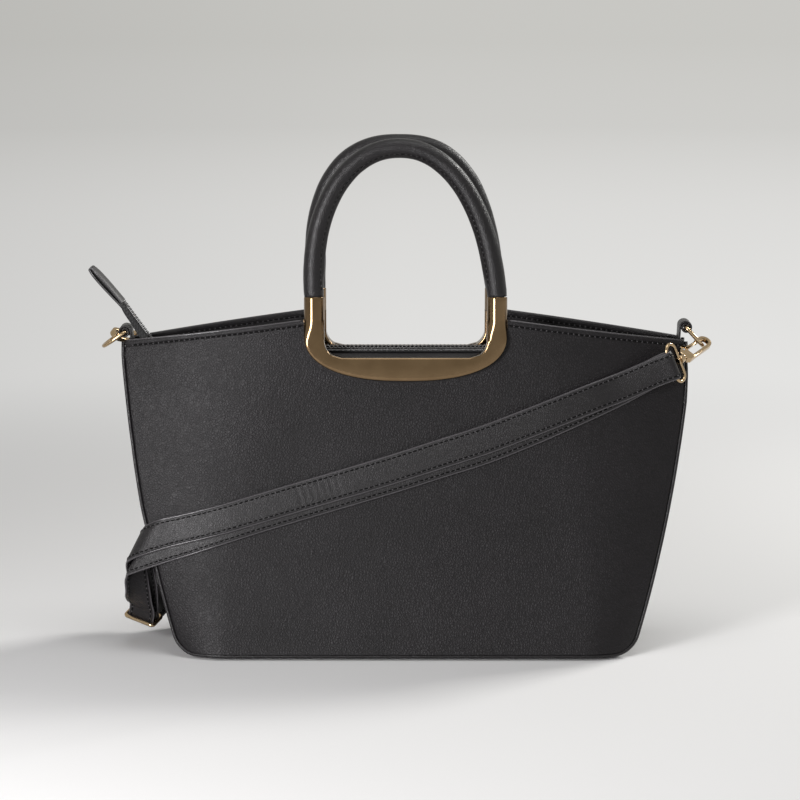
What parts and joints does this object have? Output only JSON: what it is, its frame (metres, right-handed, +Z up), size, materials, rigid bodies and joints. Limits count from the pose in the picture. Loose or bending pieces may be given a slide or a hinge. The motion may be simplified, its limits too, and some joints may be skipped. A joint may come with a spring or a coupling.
{
  "type": "top handle bag",
  "caption": "Structured trapezoid handbag with twin arched handles in cast metal frames, a zip top with a free tail, side D-rings and a folded shoulder strap on swivel snap hooks",
  "frame": {"origin": "on the floor plane under the middle of the bag body", "axes": "+X to the viewer's right along the width, +Y from front to back, +Z up"},
  "size_m": [0.4461, 0.126, 0.368],
  "materials": {
    "black_leather": "fine pebble grain, semi matt, stitched",
    "lining_cloth": "plain weave",
    "zip_tape": "ribbed tape",
    "stiffener": "plain",
    "zip_coil": "satin black",
    "zip_metal": "polished pale gold",
    "plain_steel": "plain",
    "antique_gold": "polished antique gold plating",
    "pale_gold": "polished pale gold plating"
  },
  "bodies": {
    "bag": {"front_panel": "black_leather", "back_panel": "black_leather", "left_gusset": "black_leather", "right_gusset": "black_leather", "front_piping": "black_leather", "back_piping": "black_leather", "base_panel": "black_leather", "base_board": "stiffener", "base_feet": "antique_gold", "lining": "lining_cloth", "front_facing": "black_leather", "back_facing": "black_leather", "front_handle_frame": "antique_gold", "back_handle_frame": "antique_gold", "front_handle_backing": "antique_gold", "back_handle_backing": "antique_gold", "frame_screws": "plain_steel", "front_handle_core": "stiffener", "back_handle_core": "stiffener", "front_handle_cover": "black_leather", "back_handle_cover": "black_leather", "front_zip_strip": "black_leather", "back_zip_strip": "black_leather", "front_zip_tape": "zip_tape", "back_zip_tape": "zip_tape", "front_zip_teeth": "zip_coil", "back_zip_teeth": "zip_coil", "zip_stops": "zip_metal", "left_ring_loop": "black_leather", "right_ring_loop": "black_leather", "shoulder_strap": "black_leather", "strap_buckle": "pale_gold", "left_strap_ring": "pale_gold", "right_strap_ring": "pale_gold"},
    "slider": {"zip_slider": "zip_metal"},
    "pull": {"zip_pull": "zip_metal"},
    "zip_tail": {"zip_tail_tape": "zip_tape", "zip_tail_teeth": "zip_coil", "zip_end_tab": "black_leather"},
    "left_ring": {"left_d_ring": "pale_gold"},
    "right_ring": {"right_d_ring": "pale_gold"},
    "left_hook": {"left_hook_stud": "pale_gold", "left_hook_body": "pale_gold", "left_gate_pin": "plain_steel", "left_gate_spring": "plain_steel"},
    "right_hook": {"right_hook_stud": "pale_gold", "right_hook_body": "pale_gold", "right_gate_pin": "plain_steel", "right_gate_spring": "plain_steel"},
    "left_gate": {"left_hook_gate": "pale_gold"},
    "right_gate": {"right_hook_gate": "pale_gold"}
  },
  "joints": [
    {"name": "zip_slider_travel", "type": "slide", "parent": "bag", "child": "slider", "axis": [-1, 0, 0], "range_m": [0, 0.3]},
    {"name": "zip_pull_hinge", "type": "hinge", "parent": "slider", "child": "pull", "pos_m": [0.16895, 0, 0.2204], "axis": [0, 1, 0], "range_deg": [0, 150]},
    {"name": "zip_tail_bend", "type": "hinge", "parent": "bag", "child": "zip_tail", "pos_m": [-0.167, 0, 0.2154], "axis": [0, 1, 0], "range_deg": [0, 40]},
    {"name": "left_ring_hinge", "type": "hinge", "parent": "bag", "child": "left_ring", "pos_m": [-0.2013, 0, 0.2285], "axis": [0, 1, 0], "range_deg": [-4, 4]},
    {"name": "right_ring_hinge", "type": "hinge", "parent": "bag", "child": "right_ring", "pos_m": [0.2009, 0, 0.2318], "axis": [0, 1, 0], "range_deg": [-3, 3]},
    {"name": "left_hook_swivel", "type": "hinge", "parent": "bag", "child": "left_hook", "pos_m": [-0.1882, 0.0291, 0.2177], "axis": [-0.7046, -0.6677, 0.2404], "range_deg": [-8, 8]},
    {"name": "right_hook_swivel", "type": "hinge", "parent": "bag", "child": "right_hook", "pos_m": [0.1964, -0.0238, 0.2113], "axis": [0.6284, 0.7144, 0.3079], "range_deg": [-4, 8]},
    {"name": "left_gate_hinge", "type": "hinge", "parent": "left_hook", "child": "left_gate", "pos_m": [-0.1949, 0.02667, 0.22207], "axis": [0.5978, -0.376, 0.708], "range_deg": [0, 22], "stiffness_Nm_per_rad": 0.02, "springref_deg": -11.46},
    {"name": "right_gate_hinge", "type": "hinge", "parent": "right_hook", "child": "right_gate", "pos_m": [0.19818, -0.01689, 0.21567], "axis": [-0.2551, 0.5631, -0.786], "range_deg": [0, 22], "stiffness_Nm_per_rad": 0.02, "springref_deg": -11.46}
  ]
}
